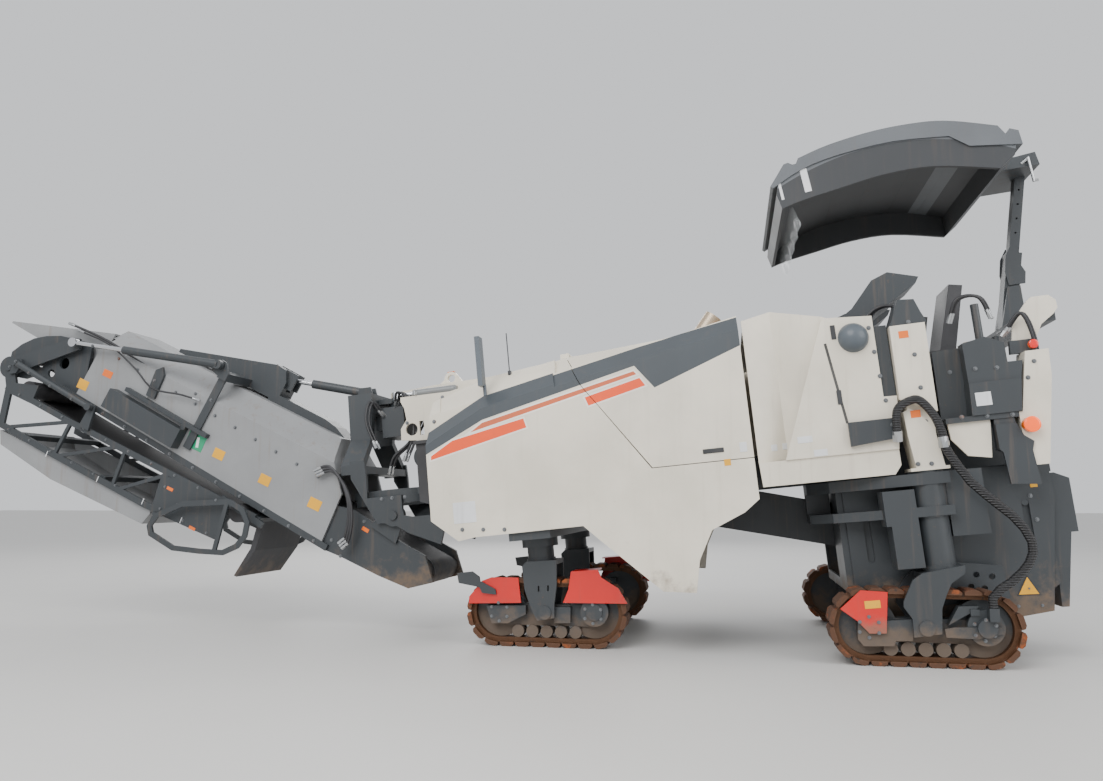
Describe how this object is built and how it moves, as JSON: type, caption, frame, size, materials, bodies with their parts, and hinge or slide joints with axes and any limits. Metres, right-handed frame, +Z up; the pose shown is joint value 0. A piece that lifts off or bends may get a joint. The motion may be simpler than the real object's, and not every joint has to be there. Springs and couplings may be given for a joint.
{
  "type": "compact cold planer milling machine on four tracks with folding discharge conveyor",
  "caption": "Compact cold planer on steerable tracks: milling drum in its housing, operator platform under a canopy and a folded discharge conveyor at the front.",
  "frame": {"origin": "on the ground, below the middle of the machine's length and width", "axes": "+X forward, towards the discharge conveyor, +Y towards the machine's left, +Z up"},
  "size_m": [9.999, 2.7252, 4.207],
  "materials": {
    "cream_paint": "satin",
    "slate_paint": "satin",
    "grey_cover": "satin",
    "red_paint": "satin",
    "orange_lamp": "gloss",
    "black_rubber": "matte",
    "track_steel": "matte",
    "drum_steel": "matte",
    "rod_chrome": "polished",
    "cylinder_grey": "satin",
    "canopy_plastic": "matte",
    "seat_vinyl": "matte",
    "exhaust_steel": "matte",
    "mirror_grey": "satin",
    "engine_iron": "matte"
  },
  "bodies": {
    "chassis": {"main_frame": "slate_paint", "front_shell": "cream_paint", "rear_shell": "cream_paint", "engine_block": "engine_iron", "nose_bracket": "cream_paint", "platform": "slate_paint", "operator_seats": "seat_vinyl", "consoles": "slate_paint", "side_cabinets": "slate_paint", "column_covers": "cream_paint", "rear_posts": "cream_paint", "drum_housing": "slate_paint", "primary_conveyor": "slate_paint", "rubber_apron": "black_rubber", "leg_columns": "slate_paint", "mirrors": "mirror_grey", "lamps": "orange_lamp", "canopy_sleeve": "slate_paint", "slew_cylinder": "cylinder_grey"},
    "engine_hood": {"hood": "cream_paint", "exhaust": "exhaust_steel"},
    "canopy": {"canopy_roof": "canopy_plastic", "canopy_mast": "slate_paint"},
    "drum": {"milling_drum": "drum_steel"},
    "plate_left": {"side_plate_left": "slate_paint"},
    "plate_right": {"side_plate_right": "slate_paint"},
    "gate": {"scraper_gate": "slate_paint"},
    "slew": {"slew_bracket": "slate_paint"},
    "conveyor_inner": {"inner_frame": "slate_paint", "inner_cheeks": "slate_paint", "inner_cover": "grey_cover", "inner_belt": "black_rubber", "fold_cylinders": "slate_paint"},
    "conveyor_outer": {"outer_frame": "slate_paint", "outer_cover": "grey_cover", "outer_belt": "black_rubber"},
    "lift_barrel": {"lift_cylinder": "slate_paint"},
    "lift_piston": {"lift_rod": "rod_chrome"},
    "slew_piston": {"slew_rod": "rod_chrome"},
    "fold_pistons": {"fold_rods": "rod_chrome"},
    "track_fl": {"track_frame_fl": "slate_paint", "track_loop_fl": "track_steel", "track_guard_fl": "red_paint"},
    "track_fr": {"track_frame_fr": "slate_paint", "track_loop_fr": "track_steel", "track_guard_fr": "red_paint"},
    "track_rl": {"track_frame_rl": "slate_paint", "track_loop_rl": "track_steel", "track_guard_rl": "red_paint", "leg_hose_left": "black_rubber"},
    "track_rr": {"track_frame_rr": "slate_paint", "track_loop_rr": "track_steel", "track_guard_rr": "red_paint", "leg_hose_right": "black_rubber"}
  },
  "joints": [
    {"name": "drum_spin", "type": "hinge", "parent": "chassis", "child": "drum", "pos_m": [-3.95402, 0.21, 0.87612], "axis": [0, 1, 0], "continuous": true},
    {"name": "hood_open", "type": "hinge", "parent": "chassis", "child": "engine_hood", "pos_m": [-0.94652, 0, 2.48041], "axis": [0, 1, 0], "range_deg": [0, 50]},
    {"name": "gate_open", "type": "hinge", "parent": "chassis", "child": "gate", "pos_m": [-4.71384, 0.21, 1.43648], "axis": [0, 1, 0], "range_deg": [0, 80]},
    {"name": "plate_left_lift", "type": "slide", "parent": "chassis", "child": "plate_left", "axis": [0.0958, 0, 0.9954], "range_m": [0, 0.33]},
    {"name": "plate_right_lift", "type": "slide", "parent": "chassis", "child": "plate_right", "axis": [0.0958, 0, 0.9954], "range_m": [0, 0.33]},
    {"name": "canopy_height", "type": "slide", "parent": "chassis", "child": "canopy", "axis": [-0.1284, 0, 0.9917], "range_m": [-0.45, 0]},
    {"name": "steer_fl", "type": "hinge", "parent": "chassis", "child": "track_fl", "pos_m": [-0.79871, 0.85, 0.7081], "axis": [0.0958, 0, 0.9954], "range_deg": [-25, 25]},
    {"name": "steer_fr", "type": "hinge", "parent": "chassis", "child": "track_fr", "pos_m": [-0.79871, -0.85, 0.7081], "axis": [0.0958, 0, 0.9954], "range_deg": [-25, 25]},
    {"name": "steer_rl", "type": "hinge", "parent": "chassis", "child": "track_rl", "pos_m": [-3.84846, 1.16, 0.72029], "axis": [0.0958, 0, 0.9954], "range_deg": [-8, 8]},
    {"name": "steer_rr", "type": "hinge", "parent": "chassis", "child": "track_rr", "pos_m": [-3.84846, -1.11, 0.72029], "axis": [0.0958, 0, 0.9954], "range_deg": [-8, 8]},
    {"name": "conveyor_slew", "type": "hinge", "parent": "chassis", "child": "slew", "pos_m": [0.69715, 0, 1.18701], "axis": [0.0958, 0, 0.9954], "range_deg": [-50, 50]},
    {"name": "conveyor_lift", "type": "hinge", "parent": "slew", "child": "conveyor_inner", "pos_m": [0.64373, 0, 1.0495], "axis": [0, -1, 0], "range_deg": [-10, 7]},
    {"name": "conveyor_fold", "type": "hinge", "parent": "conveyor_inner", "child": "conveyor_outer", "pos_m": [4.85621, 0, 2.54182], "axis": [0, -1, 0], "range_deg": [0, 185]},
    {"name": "lift_barrel_hinge", "type": "hinge", "parent": "slew", "child": "lift_barrel", "pos_m": [1.16038, 0, 2.24249], "axis": [0, -1, 0], "range_deg": [-18.8, 13.3]},
    {"name": "lift_piston_slide", "type": "slide", "parent": "lift_barrel", "child": "lift_piston", "axis": [0.9828, 0, 0.1845], "range_m": [-0.136, 0.192]},
    {"name": "slew_piston_slide", "type": "slide", "parent": "chassis", "child": "slew_piston", "axis": [0.9954, 0, -0.0958], "range_m": [-0.14, 0.14]},
    {"name": "fold_piston_slide", "type": "slide", "parent": "conveyor_inner", "child": "fold_pistons", "axis": [0.9861, 0, 0.1662], "range_m": [0, 0.56]}
  ],
  "couplings": [
    {"joint": "lift_barrel_hinge", "follows": "conveyor_lift", "ratio": 1.833},
    {"joint": "lift_piston_slide", "follows": "conveyor_lift", "m_per_rad": -1.0772},
    {"joint": "slew_piston_slide", "follows": "conveyor_slew", "m_per_rad": -0.15},
    {"joint": "fold_piston_slide", "follows": "conveyor_fold", "m_per_rad": 0.17}
  ]
}
